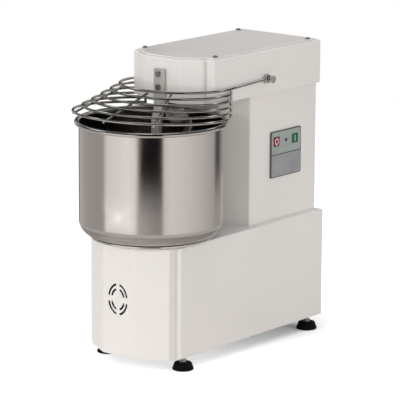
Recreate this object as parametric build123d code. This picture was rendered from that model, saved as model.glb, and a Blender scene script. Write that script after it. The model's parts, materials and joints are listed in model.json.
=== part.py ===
from build123d import *
import os
from math import sin, cos, tan, pi, radians, sqrt, atan2, degrees

os.makedirs("parts", exist_ok=True)

# ---------------------------------------------------------------- dimensions
# Fixed-head spiral dough mixer, 10 litre class. Millimetres, +Z up.
# Inside this script Y = 0 lies just in front of the base's front corners; the
# finished pieces are moved by Y_SHIFT and Z_SHIFT so that the origin is the
# centre of the bounding box on the floor.
SHEET = 2.0                 # enamelled steel sheet

BASE_W = 102.2              # half width
BASE_REAR = 423.8
BASE_Z0, BASE_Z1 = 21.9, 225.0
BASE_CORNER, BASE_FRONT = 4.0, -46.0
BASE_SHOULDER, BASE_STEP, BASE_BEND = 92.0, -13.4, 35.5

COL_W = 85.4
COL_CORNER, COL_FRONT, COL_REAR = 222.0, 192.9, 419.9
COL_BEND = 35.0

HEAD_W = 94.3
HEAD_CORNER, HEAD_FRONT, HEAD_REAR = 105.5, 73.5, 420.1
HEAD_Z0, HEAD_TOP = 466.2, 546.0
HEAD_SHOULDER, HEAD_STEP, HEAD_BEND = 75.5, 94.0, 40.0
LID_INSET = 7.0
LID_T = 2.5

BOWL_Y = 46.4
BOWL_R, BOWL_RIM_R, BOWL_BEAD = 130.0, 137.8, 4.2
BOWL_TOP = 438.6
BOWL_BOT = 230.0
BOWL_CORNER = 27.0
BOWL_WALL = 1.6

TOOL_Y = 116.5              # spiral axis
HOOK_R = 42.5               # centre line of the bar
HOOK_BAR = 7.4

WIRE = 2.3                  # guard wire radius
ROD = 2.8                   # guard top wire radius
GUARD_XE, GUARD_YE = 99.9, 147.0
GUARD_Z_END = [443.0, 451.5, 460.5, 470.5, 480.5, 490.5]
GUARD_Y_APEX = [-93.1, -71.5, -49.9, -28.3, -6.7, 14.9]
GUARD_Z_APEX = [457.5, 465.0, 472.5, 480.0, 487.5, 495.0]
PIVOT_Y, PIVOT_Z = 254.0, 495.0
PIVOT_R = 4.0
RUN = 0.05                  # radial running clearance

COUNTER_Y = 272.0
LAY_Y = 160.0
MOTOR_Y = 362.0
MOTOR_R = 50.0

FOOT_Y = (28.0, 394.0)
FOOT_X = 89.5
FOOT_Z = -3.0               # underside of the rubber feet

PANEL_Y = (278.5, 370.3)
PANEL_Z = (303.8, 390.2)
PANEL_T = 3.5
BUTTON = 16.4
BUTTON_OUT = 0.8            # the caps stand this far out of the panel

FRONT_MOST = GUARD_Y_APEX[0] - WIRE
REAR_MOST = 440.0
Y_SHIFT = -(FRONT_MOST + REAR_MOST) / 2
Z_SHIFT = -FOOT_Z


# ---------------------------------------------------------------- helpers
def cyl(r, z0, z1, x=0.0, y=0.0):
    return Pos(x, y, (z0 + z1) / 2) * Cylinder(r, z1 - z0)


def cylx(r, x0, x1, y, z):
    return Pos((x0 + x1) / 2, y, z) * Rot(0, 90, 0) * Cylinder(r, abs(x1 - x0))


def cyly(r, y0, y1, x, z):
    return Pos(x, (y0 + y1) / 2, z) * Rot(90, 0, 0) * Cylinder(r, abs(y1 - y0))


def box(x0, x1, y0, y1, z0, z1):
    return Pos((x0 + x1) / 2, (y0 + y1) / 2, (z0 + z1) / 2) * Box(x1 - x0, y1 - y0, z1 - z0)


def ring(ro, ri, z0, z1, x=0.0, y=0.0):
    return cyl(ro, z0, z1, x, y) - cyl(ri, z0 - 1, z1 + 1, x, y)


def rod(a, b, r):
    a, b = Vector(*a), Vector(*b)
    d = b - a
    pl = Plane(origin=a, z_dir=d.normalized())
    return pl * (Pos(0, 0, d.length / 2) * Cylinder(r, d.length))


def ball(p, r):
    return Pos(*p) * Sphere(r)


def torus_arc(p0, p1, p2, r):
    path = ThreePointArc(p0, p1, p2)
    t = path % 0
    prof = Plane(origin=path @ 0, z_dir=t) * Circle(r)
    return sweep(prof, path=path)


def rounded(pts, off=0.0):
    """Face from anticlockwise (x, y, radius) corners, shrunk by off."""
    n = len(pts)
    V = [Vector(x, y) for x, y, r in pts]
    E = [(V[(i + 1) % n] - V[i]).normalized() for i in range(n)]
    corners = []
    for i in range(n):
        e0, e1 = E[i - 1], E[i]
        cr = e0.X * e1.Y - e0.Y * e1.X                # positive on an outward corner
        n0, n1 = Vector(-e0.Y, e0.X), Vector(-e1.Y, e1.X)
        b = n0 + n1
        v = V[i] + b * (2 * off / b.dot(b))
        r = max(pts[i][2] - off if cr > 0 else pts[i][2] + off, 0.4)
        h = atan2(abs(cr), e0.dot(e1)) / 2            # half the turn
        c = b.normalized() * (1 if cr > 0 else -1)
        t = r * tan(h)
        corners.append((v - e0 * t, v + c * (r / cos(h) - r), v + e1 * t))
    with BuildSketch() as sk:
        with BuildLine():
            for i in range(n):
                a, m, z = corners[i]
                ThreePointArc(a, m, z)
                Line(z, corners[(i + 1) % n][0])
        make_face()
    return sk.sketch


def mirrored(half):
    """Right-hand corners, rear to front, completed with the left-hand ones."""
    return half + [(-x, y, r) for x, y, r in reversed(half)]


def outline(w, y_rear, y_corner, x_sh, y_step, x_bend, y_front, rc, off=0.0):
    """Plan shape of a casing: flat sides and rear, a short shoulder behind
    each front corner, and a front of three flat panels. off shrinks it."""
    half = [(w, y_rear, 0.4), (w, y_corner, rc), (x_sh, y_corner, 2.5), (x_sh, y_step, 3.0), (x_bend, y_front, 16.0)]
    return rounded(mirrored(half)[::-1], off)


def up(face, z0, z1):
    return extrude(Pos(0, 0, z0) * face, amount=z1 - z0)


def horizontal_edges(solid, z):
    return [e for e in solid.edges() if abs(e.center().Z - z) < 0.01 and abs(e.bounding_box().size.Z) < 0.01]


def slot_y(x, z, length, h, y0, y1):
    """Horizontal rounded slot cut along Y."""
    return box(x - length / 2 + h / 2, x + length / 2 - h / 2, y0, y1, z - h / 2, z + h / 2) \
        + cyly(h / 2, y0, y1, x - length / 2 + h / 2, z) + cyly(h / 2, y0, y1, x + length / 2 - h / 2, z)


def dome_screw(x, y, z, rh, hh, rs, ls):
    """Pan-head screw, head above z, shank below, with a cross recess."""
    head = cyl(rh, z, z + hh, x, y)
    head = fillet([e for e in head.edges() if abs(e.center().Z - (z + hh)) < 0.01], hh * 0.7)
    s = head + cyl(rs, z - ls, z + 0.2, x, y)
    s -= box(x - rh * 0.55, x + rh * 0.55, y - 0.5, y + 0.5, z + hh * 0.45, z + hh + 1)
    s -= box(x - 0.5, x + 0.5, y - rh * 0.55, y + rh * 0.55, z + hh * 0.45, z + hh + 1)
    return s


def hexagon_head(r_af, h):
    return extrude(RegularPolygon(r_af / cos(pi / 6), 6), amount=h)


def pulley(r, z0, z1, y, bore, rim=3.0, teeth=0):
    """Flanged belt pulley, the belt runs at radius r between the flanges."""
    f = 1.6
    p = cyl(r + rim, z0, z0 + f, 0, y) + cyl(r, z0 + f, z1 - f, 0, y) + cyl(r + rim, z1 - f, z1, 0, y)
    p -= cyl(bore, z0 - 1, z1 + 1, 0, y)
    if r > 40:                                   # lightening holes
        for k in range(5):
            a = 2 * pi * k / 5
            p -= cyl(r * 0.2, z0 - 1, z1 + 1, r * 0.58 * cos(a), y + r * 0.58 * sin(a))
    return p


def belt(ya, ra, yb, rb, z0, z1, t=2.4, gap=0.35):
    """Closed belt round two pulleys on the X = 0 line."""
    def loop(da):
        Ra, Rb = ra + gap + da, rb + gap + da
        d = yb - ya
        a = Vector(0, ya)
        # outer tangents of two circles along the Y axis
        phi = (Ra - Rb) / d
        s, c = phi, sqrt(1 - phi * phi)
        pa = (Ra * c, ya + Ra * s)
        pb = (Rb * c, yb + Rb * s)
        with BuildSketch() as sk:
            with BuildLine():
                Line(pa, pb)
                ThreePointArc(pb, (0, yb + Rb), (-pb[0], pb[1]))
                Line((-pb[0], pb[1]), (-pa[0], pa[1]))
                ThreePointArc((-pa[0], pa[1]), (0, ya - Ra), pa)
            make_face()
        return sk.sketch
    return up(loop(t), z0, z1) - up(loop(0.0), z0 - 1, z1 + 1)


def bearing(y, bore, od, z0, z1):
    b = ring(od, bore, z0, z1, 0, y)
    mid = (od + bore) / 2
    w = (od - bore) * 0.16
    b -= ring(mid + w, mid - w, z1 - 0.8, z1 + 1, 0, y)
    b -= ring(mid + w, mid - w, z0 - 1, z0 + 0.8, 0, y)
    return b


P = {}

# ---------------------------------------------------------------- base
base_out = outline(BASE_W, BASE_REAR, BASE_CORNER, BASE_SHOULDER, BASE_STEP, BASE_BEND, BASE_FRONT, 4.5)
base_in = outline(BASE_W, BASE_REAR, BASE_CORNER, BASE_SHOULDER, BASE_STEP, BASE_BEND, BASE_FRONT, 4.5, off=SHEET)
shell = up(base_out, BASE_Z0, BASE_Z1)
shell = fillet(horizontal_edges(shell, BASE_Z1), 2.6)
shell -= up(base_in, BASE_Z0 - 1, BASE_Z1 - SHEET)
shell -= cyl(30.0, BASE_Z1 - 5, BASE_Z1 + 5, 0, BOWL_Y)                       # bowl shaft
shell -= box(-66, 66, 208, 414, BASE_Z1 - 5, BASE_Z1 + 5)                     # into the column
shell -= box(-80, 80, BASE_REAR - 5, BASE_REAR + 5, 45, 200)                  # rear access
VENT_Z = 125.4
vent = None
for rz in (18.6, 27.2):                                                       # oval rings of vent slots
    rx = rz * 0.77
    a = extrude(Plane(origin=(0, BASE_FRONT + 12, VENT_Z), x_dir=(1, 0, 0), z_dir=(0, -1, 0))
                * (Ellipse(rx + 1.5, rz + 1.5) - Ellipse(rx - 1.5, rz - 1.5)), amount=20)
    vent = a if vent is None else vent + a
vent -= box(-3.9, 3.9, BASE_FRONT - 12, BASE_FRONT + 15, VENT_Z - 40, VENT_Z + 40)
vent -= box(-40, 40, BASE_FRONT - 12, BASE_FRONT + 15, VENT_Z - 5.4, VENT_Z + 5.4)
shell -= vent
for s in (1, -1):
    for z in (50, 195):
        shell -= cyly(1.6, BASE_REAR - 5, BASE_REAR + 5, s * 88, z)
P["base_casing"] = shell

# rear covers with louvres, cable gland hole in the base cover
cover = box(-94, 94, BASE_REAR, BASE_REAR + 1.5, 36, 209)
cover = fillet([e for e in cover.edges().filter_by(Axis.Y)], 5)
for k in range(6):
    cover -= slot_y(0, 100 + 11 * k, 90, 4, BASE_REAR - 3, BASE_REAR + 5)
cover -= cyly(8.2, BASE_REAR - 3, BASE_REAR + 5, 62, 58)
for s in (1, -1):
    for z in (50, 195):
        cover -= cyly(1.7, BASE_REAR - 3, BASE_REAR + 5, s * 88, z)
P["base_rear_cover"] = cover

# chassis plate that carries the feet and the bearing housings
plate = up(base_in, 27.0, 31.0)
for fy in FOOT_Y:
    for s in (1, -1):
        plate -= cyl(4.1, 20, 40, s * FOOT_X, fy)
plate -= box(-46, 46, 210, 300, 20, 40)
plate += cyl(24, 31, 47, 0, LAY_Y) + cyl(42, 31, 35, 0, LAY_Y)                # lay shaft bearing seat
plate -= cyl(17.5, 31, 50, 0, LAY_Y)
P["chassis_plate"] = plate

# ---------------------------------------------------------------- feet
feet = None
studs = None
for fy in FOOT_Y:
    for s in (1, -1):
        x = s * FOOT_X
        prof = Plane.XZ * make_face(Polyline((0, FOOT_Z), (18.8, FOOT_Z), (19.3, FOOT_Z + 2.4), (15.8, 9.0), (13.6, 10.6), (0, 10.6), close=True))
        f = Pos(x, fy, 0) * revolve(prof, Axis.Z)
        f -= cyl(4.0, 3.0, 20, x, fy)
        feet = f if feet is None else feet + f
        st = cyl(4.0, 3.0, 44.0, x, fy)
        st += Pos(x, fy, 10.6) * hexagon_head(6.5, 4.0)
        st += Pos(x, fy, 31.0) * hexagon_head(6.5, 5.5)
        st += cyl(6.0, 21.5, 27.0, x, fy)
        studs = st if studs is None else studs + st
P["rubber_feet"] = feet
P["foot_studs"] = studs

# ---------------------------------------------------------------- column
col_pts = mirrored([(COL_W, COL_REAR, 0.4), (COL_W, COL_CORNER, 5.0), (COL_BEND, COL_FRONT, 16.0)])[::-1]
col_out = rounded(col_pts)
col_in = rounded(col_pts, SHEET)
col = up(col_out, BASE_Z1, HEAD_Z0)
col -= up(col_in, BASE_Z1 - 1, HEAD_Z0 + 1)
col -= box(-70, 70, COL_REAR - 5, COL_REAR + 5, 245, 446)
col -= box(COL_W - 6, COL_W + 6, PANEL_Y[0] + 4, PANEL_Y[1] - 4, 354, 385)    # switch cut-out
for s in (1, -1):
    for z in (252, 439):
        col -= cyly(1.6, COL_REAR - 5, COL_REAR + 5, s * 76, z)
P["column_casing"] = col

cc = box(-81, 81, COL_REAR, COL_REAR + 1.5, 240, 451)
cc = fillet([e for e in cc.edges().filter_by(Axis.Y)], 5)
for k in range(9):
    cc -= slot_y(0, 290 + 12 * k, 96, 4, COL_REAR - 3, COL_REAR + 5)
for s in (1, -1):
    for z in (252, 439):
        cc -= cyly(1.7, COL_REAR - 3, COL_REAR + 5, s * 76, z)
P["column_rear_cover"] = cc

screws = None
for s in (1, -1):
    for x, z, y in ((s * 88, 50, BASE_REAR + 1.5), (s * 88, 195, BASE_REAR + 1.5),
                    (s * 76, 252, COL_REAR + 1.5), (s * 76, 439, COL_REAR + 1.5)):
        sc = Pos(x, y, z) * Rot(-90, 0, 0) * dome_screw(0, 0, 0, 3.6, 2.2, 1.5, 9)
        screws = sc if screws is None else screws + sc
P["rear_cover_screws"] = screws

# ---------------------------------------------------------------- head
head_out = outline(HEAD_W, HEAD_REAR, HEAD_CORNER, HEAD_SHOULDER, HEAD_STEP, HEAD_BEND, HEAD_FRONT, 4.5)
head_in = outline(HEAD_W, HEAD_REAR, HEAD_CORNER, HEAD_SHOULDER, HEAD_STEP, HEAD_BEND, HEAD_FRONT, 4.5, off=SHEET)
head = up(head_out, HEAD_Z0, HEAD_TOP)
head = fillet(horizontal_edges(head, HEAD_TOP), 2.6)
head -= up(head_in, HEAD_Z0 - 1, HEAD_TOP - SHEET)
head -= up(outline(HEAD_W, HEAD_REAR, HEAD_CORNER, HEAD_SHOULDER, HEAD_STEP, HEAD_BEND, HEAD_FRONT, 4.5, off=18.0), HEAD_TOP - 5, HEAD_TOP + 1)
for s in (1, -1):
    head -= cylx(6.6, s * (HEAD_W - 6), s * (HEAD_W + 6), PIVOT_Y, PIVOT_Z)
STRAP_X, BAR_BOLT_X, BAR_BOLT_Z = 0.2, 1.7, (518.0, 494.0)
for z in BAR_BOLT_Z:
    head -= cyly(2.6, HEAD_FRONT - 4, HEAD_FRONT + 8, BAR_BOLT_X, z)
LID_X, LID_Y = 81.7, (124.4, 395.5)
lugs = None
for ly in LID_Y:
    for s in (1, -1):
        xa, xb = sorted((s * (LID_X - 9), s * (HEAD_W - SHEET + 0.5)))
        head += box(xa, xb, ly - 8, ly + 8, HEAD_TOP - 12, HEAD_TOP)
        head -= cyl(2.1, HEAD_TOP - 14, HEAD_TOP + 2, s * LID_X, ly)
P["head_casing"] = head

lid_out = outline(HEAD_W, HEAD_REAR, HEAD_CORNER, HEAD_SHOULDER, HEAD_STEP, HEAD_BEND, HEAD_FRONT, 9.0, off=LID_INSET)
LID_TOP = HEAD_TOP + LID_T
lid = up(lid_out, HEAD_TOP, LID_TOP)
lid = fillet(horizontal_edges(lid, LID_TOP), 0.9)
for ly in LID_Y:
    for s in (1, -1):
        lid -= cyl(2.3, LID_TOP - 5, LID_TOP + 5, s * LID_X, ly)
P["head_lid"] = lid

ls = None
for ly in LID_Y:
    for s in (1, -1):
        sc = dome_screw(s * LID_X, ly, LID_TOP, 4.6, 3.1, 2.0, 12)
        ls = sc if ls is None else ls + sc
P["lid_screws"] = ls

under = up(head_in, HEAD_Z0, HEAD_Z0 + 3.0)
under -= cyl(22.0, HEAD_Z0 - 1, HEAD_Z0 + 5, 0, TOOL_Y)
under -= box(-66, 66, 232, 400, HEAD_Z0 - 1, HEAD_Z0 + 5)
P["head_underplate"] = under

# ---------------------------------------------------------------- bowl and its drive
with BuildSketch(Plane.XZ) as bs:
    with BuildLine():
        rb, rc = BOWL_R, BOWL_CORNER
        Line((34, BOWL_BOT), (rb - rc, BOWL_BOT))
        RadiusArc((rb - rc, BOWL_BOT), (rb, BOWL_BOT + rc), -rc)
        Line((rb, BOWL_BOT + rc), (rb, BOWL_TOP - 4.6))
        Line((rb, BOWL_TOP - 4.6), (rb - BOWL_WALL, BOWL_TOP - 4.6))
        Line((rb - BOWL_WALL, BOWL_TOP - 4.6), (rb - BOWL_WALL, BOWL_BOT + rc))
        RadiusArc((rb - BOWL_WALL, BOWL_BOT + rc), (rb - rc, BOWL_BOT + BOWL_WALL), rc - BOWL_WALL)
        Line((rb - rc, BOWL_BOT + BOWL_WALL), (34, BOWL_BOT + BOWL_WALL))
        Line((34, BOWL_BOT + BOWL_WALL), (34, BOWL_BOT))
    make_face()
bowl = revolve(bs.sketch, Axis.Z)
bead = Pos(0, 0, BOWL_TOP - BOWL_BEAD) * Torus(BOWL_RIM_R - BOWL_BEAD, BOWL_BEAD)
bowl = bowl + bead
bowl += cyl(40, BOWL_BOT, BOWL_BOT + BOWL_WALL)
for k in range(4):
    a = pi / 4 + k * pi / 2
    bowl -= cyl(3.2, BOWL_BOT - 2, BOWL_BOT + 5, 26 * cos(a), 26 * sin(a))
P["bowl"] = Pos(0, BOWL_Y, 0) * bowl

fl = cyl(111.0, 226.6, BOWL_BOT, 0, BOWL_Y) + cyl(29.0, 219, BOWL_BOT, 0, BOWL_Y)
fl = chamfer([e for e in fl.edges() if abs(e.center().Z - 226.6) < 0.01 and e.length > 600], 0.8)
fl -= cyl(12.0, 200, BOWL_BOT - 4, 0, BOWL_Y)
for k in range(4):
    a = pi / 4 + k * pi / 2
    fl -= cyl(2.5, 221, BOWL_BOT + 2, 26 * cos(a), BOWL_Y + 26 * sin(a))
for k in range(4):                                # lightening holes
    a = k * pi / 2
    fl -= cyl(20, 222, BOWL_BOT + 2, 70 * cos(a), BOWL_Y + 70 * sin(a))
P["bowl_flange"] = fl

bsr = None
for k in range(4):
    a = pi / 4 + k * pi / 2
    sc = dome_screw(26 * cos(a), BOWL_Y + 26 * sin(a), BOWL_BOT + BOWL_WALL, 5.0, 2.8, 2.4, 8)
    bsr = sc if bsr is None else bsr + sc
P["bowl_screws"] = bsr

BS_R = 12.0
P["bowl_shaft"] = cyl(BS_R, 48, BOWL_BOT - 4.0, 0, BOWL_Y)
hs = cyl(26.5, 120, 214, 0, BOWL_Y) + cyl(58, 120, 126, 0, BOWL_Y)
for k in range(4):                                # legs down to the chassis plate
    a = pi / 4 + k * pi / 2
    px, py = 50 * cos(a), BOWL_Y + 50 * sin(a)
hs -= cyl(13.5, 100, 230, 0, BOWL_Y)
hs -= cyl(22.0, 202, 216, 0, BOWL_Y) + cyl(22.0, 118, 132, 0, BOWL_Y)
P["bowl_bearing_housing"] = hs
P["bowl_bearings"] = bearing(BOWL_Y, BS_R + RUN, 22.0, 202, 214) + bearing(BOWL_Y, BS_R + RUN, 22.0, 120, 132)

# welded bridge that carries the bowl bearing housing and the lay shaft's upper bearing
br = box(-88, 88, BOWL_Y - 58, LAY_Y + 26, 114, 120)
br -= cyl(15.0, 100, 130, 0, BOWL_Y)
for s in (1, -1):
    br += box(*sorted((s * 88, s * 94)), 46, LAY_Y + 26, 31, 120)
br += cyl(24, 120, 134, 0, LAY_Y)
br -= cyl(17.5, 110, 140, 0, LAY_Y)
P["bearing_bridge"] = br

BP_R, BP_Z = 76.0, (52.0, 68.0)
P["bowl_pulley"] = pulley(BP_R, BP_Z[0], BP_Z[1], BOWL_Y, BS_R)

# ---------------------------------------------------------------- lay shaft
LS_R = 9.0
LAY_SMALL, LAY_BIG, LAY_Z = 15.2, 68.4, (86.0, 102.0)
P["lay_shaft"] = cyl(LS_R, 33, 136, 0, LAY_Y)
P["lay_pulleys"] = pulley(LAY_SMALL, BP_Z[0], BP_Z[1], LAY_Y, LS_R, rim=2.4) \
    + cyl(14, BP_Z[1], LAY_Z[0], 0, LAY_Y) - cyl(LS_R, 40, 110, 0, LAY_Y) \
    + pulley(LAY_BIG, LAY_Z[0], LAY_Z[1], LAY_Y, LS_R)
P["lay_bearings"] = bearing(LAY_Y, LS_R + RUN, 17.5, 36, 47) + bearing(LAY_Y, LS_R + RUN, 17.5, 122, 134)

# ---------------------------------------------------------------- countershaft
CS_R = 9.0
CS_LOW, CS_BIG, CS_TOP = 15.2, 64.0, 16.0
CS_BIG_Z, CS_TOP_Z = (372.0, 390.0), (523.0, 539.0)
P["countershaft"] = cyl(CS_R, 76, 542, 0, COUNTER_Y)
P["countershaft_low_pulley"] = pulley(CS_LOW, LAY_Z[0], LAY_Z[1], COUNTER_Y, CS_R, rim=2.4)
P["countershaft_big_pulley"] = pulley(CS_BIG, CS_BIG_Z[0], CS_BIG_Z[1], COUNTER_Y, CS_R)
P["countershaft_top_pulley"] = pulley(CS_TOP, CS_TOP_Z[0], CS_TOP_Z[1], COUNTER_Y, CS_R, rim=2.4)
cb = box(-93, 93, COUNTER_Y - 30, COUNTER_Y + 24, 214, 218)
cb += ring(24, 17.5, 204, 214, 0, COUNTER_Y)
cb -= cyl(17.5, 200, 230, 0, COUNTER_Y)
P["counter_low_bracket"] = cb
ct = box(-76, 76, 236, COUNTER_Y + 30, HEAD_Z0 + 3.0, HEAD_Z0 + 7.0)
ct += ring(24, 17.5, HEAD_Z0 + 7, HEAD_Z0 + 17, 0, COUNTER_Y)
ct -= cyl(17.5, 460, 500, 0, COUNTER_Y)
P["counter_top_bracket"] = ct
P["countershaft_bearings"] = bearing(COUNTER_Y, CS_R + RUN, 17.5, 205, 217) \
    + bearing(COUNTER_Y, CS_R + RUN, 17.5, HEAD_Z0 + 4.5, HEAD_Z0 + 16.5)

# ---------------------------------------------------------------- motor
MS_R = 7.0
mb = cyl(MOTOR_R - 5, 210, 330, 0, MOTOR_Y)
for k in range(24):                                   # cooling fins
    a = 2 * pi * k / 24
    f = Pos((MOTOR_R - 4) * cos(a), MOTOR_Y + (MOTOR_R - 4) * sin(a), 270) * Rot(0, 0, degrees(a)) * Box(8, 2.2, 112)
    mb += f
mb -= cyl(21.0, 214, 335, 0, MOTOR_Y)
mb -= cyl(MS_R + 1.0, 200, 335, 0, MOTOR_Y)
P["motor_housing"] = mb
me = cyl(MOTOR_R - 4, 330, 338, 0, MOTOR_Y) + cyl(30, 338, 350, 0, MOTOR_Y)
me -= cyl(14.0, 320, 350.5, 0, MOTOR_Y)
P["motor_end_bell"] = me
P["motor_bearing"] = bearing(MOTOR_Y, MS_R + RUN, 14.0, 338, 350)
P["motor_rotor"] = cyl(MS_R, 172, 392, 0, MOTOR_Y) + cyl(20.3, 230, 314, 0, MOTOR_Y)
mp = box(-83, 83, 318, 417, 350, 354)
mp -= cyl(12.0, 340, 360, 0, MOTOR_Y)
P["motor_plate"] = mp
P["motor_pulley"] = pulley(16.0, CS_BIG_Z[0], CS_BIG_Z[1], MOTOR_Y, MS_R, rim=2.4)
fan = cyl(14, 180, 190, 0, MOTOR_Y)
for k in range(7):
    a = 2 * pi * k / 7
    fan += Pos(25 * cos(a), MOTOR_Y + 25 * sin(a), 187) * Rot(0, 0, degrees(a)) * Box(30, 2, 14)
fan -= cyl(MS_R, 170, 200, 0, MOTOR_Y)
P["motor_fan"] = fan
# ---------------------------------------------------------------- belts
P["motor_belt"] = belt(COUNTER_Y, CS_BIG, MOTOR_Y, 16.0, CS_BIG_Z[0] + 2.6, CS_BIG_Z[1] - 2.6, t=2.0)
TP_R = 34.0
P["tool_belt"] = belt(TOOL_Y, TP_R, COUNTER_Y, CS_TOP, CS_TOP_Z[0] + 2.6, CS_TOP_Z[1] - 2.6, t=1.6)
P["lay_belt"] = belt(LAY_Y, LAY_BIG, COUNTER_Y, CS_LOW, LAY_Z[0] + 2.6, LAY_Z[1] - 2.6, t=2.0)
P["bowl_belt"] = belt(BOWL_Y, BP_R, LAY_Y, LAY_SMALL, BP_Z[0] + 2.6, BP_Z[1] - 2.6, t=2.0)

# ---------------------------------------------------------------- tool drive and hook
TS_R = 10.0
P["tool_shaft"] = cyl(TS_R, 424, 542, 0, TOOL_Y)
th = cyl(24, HEAD_Z0 + 3, 508, 0, TOOL_Y) + cyl(36, HEAD_Z0 + 3, HEAD_Z0 + 8, 0, TOOL_Y) + cyl(21.8, 456, HEAD_Z0 + 3.5, 0, TOOL_Y)
th -= cyl(11.5, 440, 520, 0, TOOL_Y)
th -= cyl(18.0, 498, 520, 0, TOOL_Y) + cyl(18.0, 450, 468, 0, TOOL_Y)
P["tool_bearing_housing"] = th
P["tool_bearings"] = bearing(TOOL_Y, TS_R + RUN, 18.0, 498, 508) + bearing(TOOL_Y, TS_R + RUN, 18.0, 458, 468)
P["tool_pulley"] = pulley(TP_R, CS_TOP_Z[0], CS_TOP_Z[1], TOOL_Y, TS_R, rim=2.0)

# hook: collar, arm and right-handed coil of round bar that widens downwards
hook_pts = []
N = 15
TH0, TH1 = radians(55), radians(-430)
Z_TOP, Z_LOW = 431.0, 247.0
for k in range(N):
    u = k / (N - 1)
    th_ = TH0 + (TH1 - TH0) * u
    r = HOOK_R * min(1.0, 0.42 + 1.75 * u) if u > 0 else 14.0
    z = Z_TOP - (Z_TOP - Z_LOW) * (u ** 1.02)
    hook_pts.append((r * cos(th_), TOOL_Y + r * sin(th_), z))
hook_pts = [(0.0, TOOL_Y, 436.0)] + hook_pts
coil = None
for a, b in zip(hook_pts[:-1], hook_pts[1:]):
    seg = rod(a, b, HOOK_BAR)
    coil = seg if coil is None else coil + seg
for p in hook_pts[1:]:
    coil += ball(p, HOOK_BAR)
coil += cyl(13.0, 424, 450, 0, TOOL_Y) + cyl(20.0, 428, 443, 0, TOOL_Y)
coil -= cyl(TS_R, 424, 470, 0, TOOL_Y)
P["spiral_hook"] = coil

# ---------------------------------------------------------------- breaker bar
BW = 9.5
UP_T, LOW_T, JOG = 11.0, 8.0, 7.0      # thickness above and below the joggle, and its offset
FRONT_UP = HEAD_FRONT - 0.05 - UP_T
FRONT_LOW = FRONT_UP - JOG
with BuildSketch(Plane.YZ) as bk:
    with BuildLine():
        Polyline((FRONT_UP, 527.0), (FRONT_UP, 453.0), (FRONT_LOW, 434.0), (FRONT_LOW, 252.0),
                 (FRONT_LOW + LOW_T, 252.0), (FRONT_LOW + LOW_T, 434.0), (HEAD_FRONT - 0.05, 455.0),
                 (HEAD_FRONT - 0.05, 527.0), close=True)
    make_face()
bar = extrude(bk.sketch, amount=BW, both=True)
bar = Pos(STRAP_X, 0, 0) * bar
for z in BAR_BOLT_Z:
    bar -= cyly(2.9, FRONT_UP - 3, HEAD_FRONT + 3, BAR_BOLT_X, z)
P["breaker_bar"] = bar
bb = None
for z in BAR_BOLT_Z:
    sc = Pos(BAR_BOLT_X, FRONT_UP, z) * Rot(90, 0, 0) * dome_screw(0, 0, 0, 5.7, 3.4, 2.5, 19)
    sc += cyly(4.6, HEAD_FRONT + SHEET + 0.02, HEAD_FRONT + 5.4, BAR_BOLT_X, z)
    bb = sc if bb is None else bb + sc
P["breaker_bar_bolts"] = bb

# ---------------------------------------------------------------- guard
def arc_y_centre(i):
    ya = GUARD_Y_APEX[i]
    yc = (GUARD_XE ** 2 + GUARD_YE ** 2 - ya ** 2) / (2 * (GUARD_YE - ya))
    return yc, yc - ya


def on_arc(i, x):
    """A point of arc i at the given X, on its front half."""
    a = Vector(-GUARD_XE, GUARD_YE, GUARD_Z_END[i])
    b = Vector(0, GUARD_Y_APEX[i], GUARD_Z_APEX[i])
    e = (Vector(0, GUARD_YE, GUARD_Z_END[i]) - b)
    L = e.length
    e = e.normalized()
    R = (L * L + GUARD_XE ** 2) / (2 * L)
    s = R - sqrt(R * R - x * x)
    q = b + e * s
    return (x, q.Y, q.Z)


g = None
for i in range(6):
    r = ROD if i == 5 else WIRE
    t = torus_arc((-GUARD_XE, GUARD_YE, GUARD_Z_END[i]), (0, GUARD_Y_APEX[i], GUARD_Z_APEX[i]),
                  (GUARD_XE, GUARD_YE, GUARD_Z_END[i]), r)
    g = t if g is None else g + t
for s in (1, -1):
    g += rod((s * GUARD_XE, GUARD_YE, GUARD_Z_END[0] - 3.4), (s * GUARD_XE, GUARD_YE, GUARD_Z_END[5]), WIRE + 0.15)
    g += ball((s * GUARD_XE, GUARD_YE, GUARD_Z_END[5]), ROD)
    g += rod((s * GUARD_XE, GUARD_YE, GUARD_Z_END[5]), (s * GUARD_XE, PIVOT_Y, PIVOT_Z), ROD)
    eye = cylx(8.0, s * GUARD_XE - 3.0, s * GUARD_XE + 3.0, PIVOT_Y, PIVOT_Z)
    g += eye
DROP = WIRE + 1.9
WELD = 0.12                 # the weld swells each joint of a cross wire slightly
for xs0, xs1 in ((8.0, 16.0), (93.0, 57.0), (-100.0, -62.0)):
    prev = None
    for i in range(6):
        x = xs0 + (xs1 - xs0) * i / 5
        p = on_arc(i, x)
        p = (p[0], p[1], p[2] - DROP)
        if prev is not None:
            g += rod(prev, p, WIRE)
        g += ball(p, WIRE + WELD)
        prev = p
for s in (1, -1):
    g -= cylx(PIVOT_R, s * GUARD_XE - 6, s * GUARD_XE + 6, PIVOT_Y, PIVOT_Z)
P["guard_frame"] = g

ps = None
for s in (1, -1):
    t = cylx(PIVOT_R, s * 80.0, s * 110.0, PIVOT_Y, PIVOT_Z)
    t += cylx(6.8, s * 109.0, s * 113.0, PIVOT_Y, PIVOT_Z)
    t += cylx(5.6, s * 103.4, s * 105.6, PIVOT_Y, PIVOT_Z)
    ps = t if ps is None else ps + t
P["guard_pivot_shafts"] = ps

bu = None
for s in (1, -1):
    t = cylx(6.5, s * 88.0, s * 95.0, PIVOT_Y, PIVOT_Z) + cylx(9.0, s * (HEAD_W + 0.1), s * 96.4, PIVOT_Y, PIVOT_Z)
    t -= cylx(PIVOT_R + RUN, s * 80, s * 100, PIVOT_Y, PIVOT_Z)
    bu = t if bu is None else bu + t
P["guard_bushes"] = bu

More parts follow.
